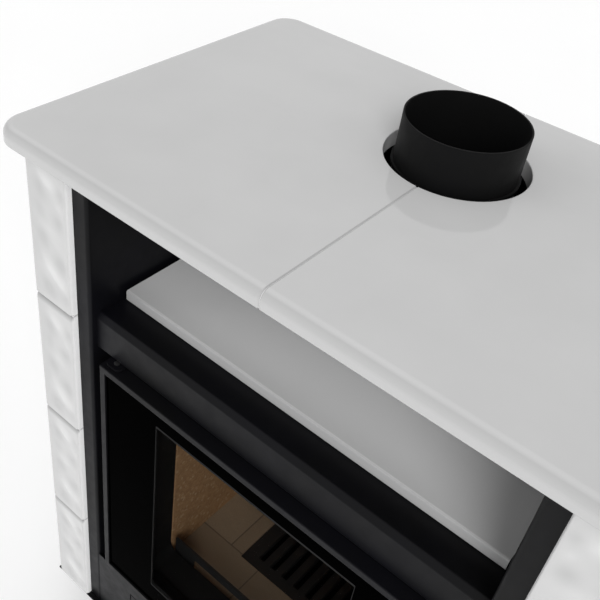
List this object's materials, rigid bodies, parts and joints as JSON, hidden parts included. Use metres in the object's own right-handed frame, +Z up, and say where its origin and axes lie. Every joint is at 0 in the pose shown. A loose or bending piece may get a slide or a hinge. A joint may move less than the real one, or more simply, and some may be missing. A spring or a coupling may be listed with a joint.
{
  "type": "tiled wood stove",
  "caption": "Free-standing wood stove with white glazed tiles and top plates, a warming niche, a glass fire door, an ash drawer, air slides and a top flue collar.",
  "frame": {"origin": "on the floor, under the middle of the top plates", "axes": "+Z up, front towards -Y, +X to the right seen from the front"},
  "size_m": [0.827, 0.541, 1.052],
  "materials": {
    "top_glaze": "glossy white glaze",
    "tile_glaze": "white glaze over a hand-worked relief",
    "black_steel": "satin black",
    "heat_black": "matt heat-proof black",
    "vermiculite": "pressed tan board",
    "fire_brick": "matt brick",
    "cast_iron": "raw casting",
    "door_glass": "clear ceramic glass with a black border",
    "sealing_tape": "black glass tape",
    "sealing_rope": "braided glass rope",
    "bare_steel": "brushed"
  },
  "bodies": {
    "casing": {"air_box": "black_steel", "air_spigot": "heat_black", "back_panel": "black_steel", "baffle": "vermiculite", "base_frame": "black_steel", "cheek_left": "black_steel", "cheek_right": "black_steel", "corner_tile_left_1": "tile_glaze", "corner_tile_left_2": "tile_glaze", "corner_tile_left_3": "tile_glaze", "corner_tile_left_4": "tile_glaze", "corner_tile_right_1": "tile_glaze", "corner_tile_right_2": "tile_glaze", "corner_tile_right_3": "tile_glaze", "corner_tile_right_4": "tile_glaze", "firebox_back": "heat_black", "firebox_floor": "heat_black", "firebox_front": "heat_black", "firebox_left": "heat_black", "firebox_right": "heat_black", "firebox_roof": "heat_black", "firebox_stand": "heat_black", "flue_collar": "heat_black", "grate": "cast_iron", "hearth_bricks": "fire_brick", "hinge_brackets": "black_steel", "hinge_pins": "bare_steel", "latch_keeper": "black_steel", "levelling_feet": "bare_steel", "lining_back": "vermiculite", "lining_left": "vermiculite", "lining_right": "vermiculite", "lintel": "black_steel", "log_retainer": "cast_iron", "lower_panel": "black_steel", "niche_back": "black_steel", "niche_shelf": "top_glaze", "side_panel_left": "black_steel", "side_panel_right": "black_steel", "side_tile_left_1": "tile_glaze", "side_tile_left_2": "tile_glaze", "side_tile_left_3": "tile_glaze", "side_tile_left_4": "tile_glaze", "side_tile_right_1": "tile_glaze", "side_tile_right_2": "tile_glaze", "side_tile_right_3": "tile_glaze", "side_tile_right_4": "tile_glaze", "top_deck": "black_steel", "top_plate_left": "top_glaze", "top_plate_right": "top_glaze"},
    "door": {"door_rim": "black_steel", "door_panel": "black_steel", "door_glass": "door_glass", "glass_gasket": "sealing_tape", "door_gasket": "sealing_rope"},
    "latch": {"latch_lever": "bare_steel", "latch_hook": "bare_steel"},
    "ash_drawer": {"ash_drawer": "black_steel"},
    "primary_air": {"primary_air_slide": "black_steel"},
    "secondary_air": {"secondary_air_slide": "black_steel"}
  },
  "joints": [
    {"name": "door_hinge", "type": "hinge", "parent": "casing", "child": "door", "pos_m": [-0.246, -0.2275, 0.462], "axis": [0, 0, -1], "range_deg": [0, 110]},
    {"name": "latch_turn", "type": "hinge", "parent": "door", "child": "latch", "pos_m": [0.245, -0.2435, 0.462], "axis": [0, 1, 0], "range_deg": [0, 70]},
    {"name": "drawer_slide", "type": "slide", "parent": "casing", "child": "ash_drawer", "axis": [0, -1, 0], "range_m": [0, 0.22]},
    {"name": "primary_air_slide", "type": "slide", "parent": "casing", "child": "primary_air", "axis": [1, 0, 0], "range_m": [-0.03, 0.03]},
    {"name": "secondary_air_slide", "type": "slide", "parent": "casing", "child": "secondary_air", "axis": [1, 0, 0], "range_m": [-0.03, 0.03]}
  ]
}
